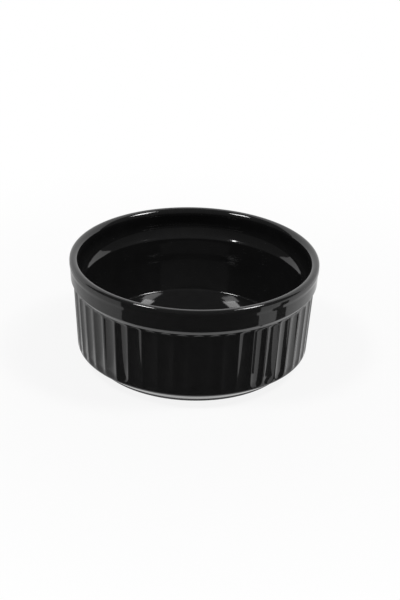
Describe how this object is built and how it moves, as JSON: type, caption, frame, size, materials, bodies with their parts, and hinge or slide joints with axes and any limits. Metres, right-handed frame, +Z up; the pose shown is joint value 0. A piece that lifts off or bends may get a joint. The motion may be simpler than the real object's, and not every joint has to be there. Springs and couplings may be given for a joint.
{
  "type": "fluted sauce bowl",
  "caption": "Round glazed ceramic sauce bowl with straight fluted sides, a plain band and rounded lip at the rim, and a bare foot ring; holds dips, sauces or single servings.",
  "frame": {"origin": "centre of the plane that the foot ring rests on", "axes": "+Z up along the bowl's axis, -Y towards the viewer, through a ridge between two flutes"},
  "size_m": [0.09, 0.09, 0.0395],
  "materials": {
    "fired_clay": "bare fired stoneware, matt and slightly sandy",
    "black_glaze": "glossy black glaze"
  },
  "bodies": {
    "root": {"clay_body": "fired_clay", "glaze_coat": "black_glaze", "base_glaze": "black_glaze"}
  },
  "joints": []
}
